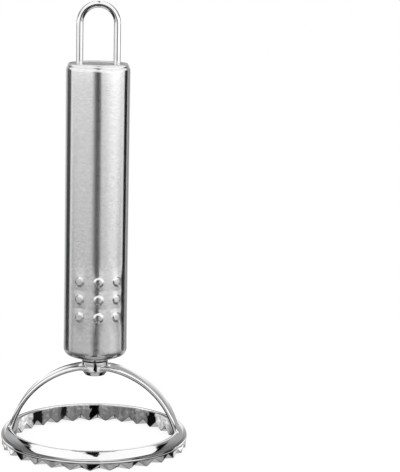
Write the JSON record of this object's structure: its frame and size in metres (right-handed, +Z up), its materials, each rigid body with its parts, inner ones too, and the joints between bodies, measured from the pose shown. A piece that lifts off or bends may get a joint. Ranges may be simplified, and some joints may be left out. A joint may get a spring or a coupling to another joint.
{
  "type": "pierogi cutter",
  "caption": "Hand-held pierogi cutter: toothed round cutting ring on an arched bow, hollow brushed steel handle with grip bumps and a wire hanging loop.",
  "frame": {"origin": "on the cutter's axis, in the plane of the tooth tips that it stands on", "axes": "+Z up along the handle to the hanging loop, the loop's plane is XZ, the grip bumps face -Y"},
  "size_m": [0.065, 0.065, 0.1546],
  "materials": {
    "chrome_plate": "bright chrome plating",
    "brushed_tube": "fine brushed grain round the tube",
    "satin_cap": "satin turned",
    "polished_wire": "polished drawn wire",
    "zinc_steel": "dull zinc plating",
    "turned_aluminium": "plain turned"
  },
  "bodies": {
    "root": {"cutter_ring": "chrome_plate", "bow": "chrome_plate", "centre_bolt": "chrome_plate", "neck_collar": "chrome_plate", "handle_tube": "brushed_tube", "end_cap": "satin_cap", "hanging_loop": "polished_wire", "loop_plate": "zinc_steel", "base_bush": "turned_aluminium", "spring_washer": "zinc_steel", "hex_nut": "zinc_steel"}
  },
  "joints": []
}
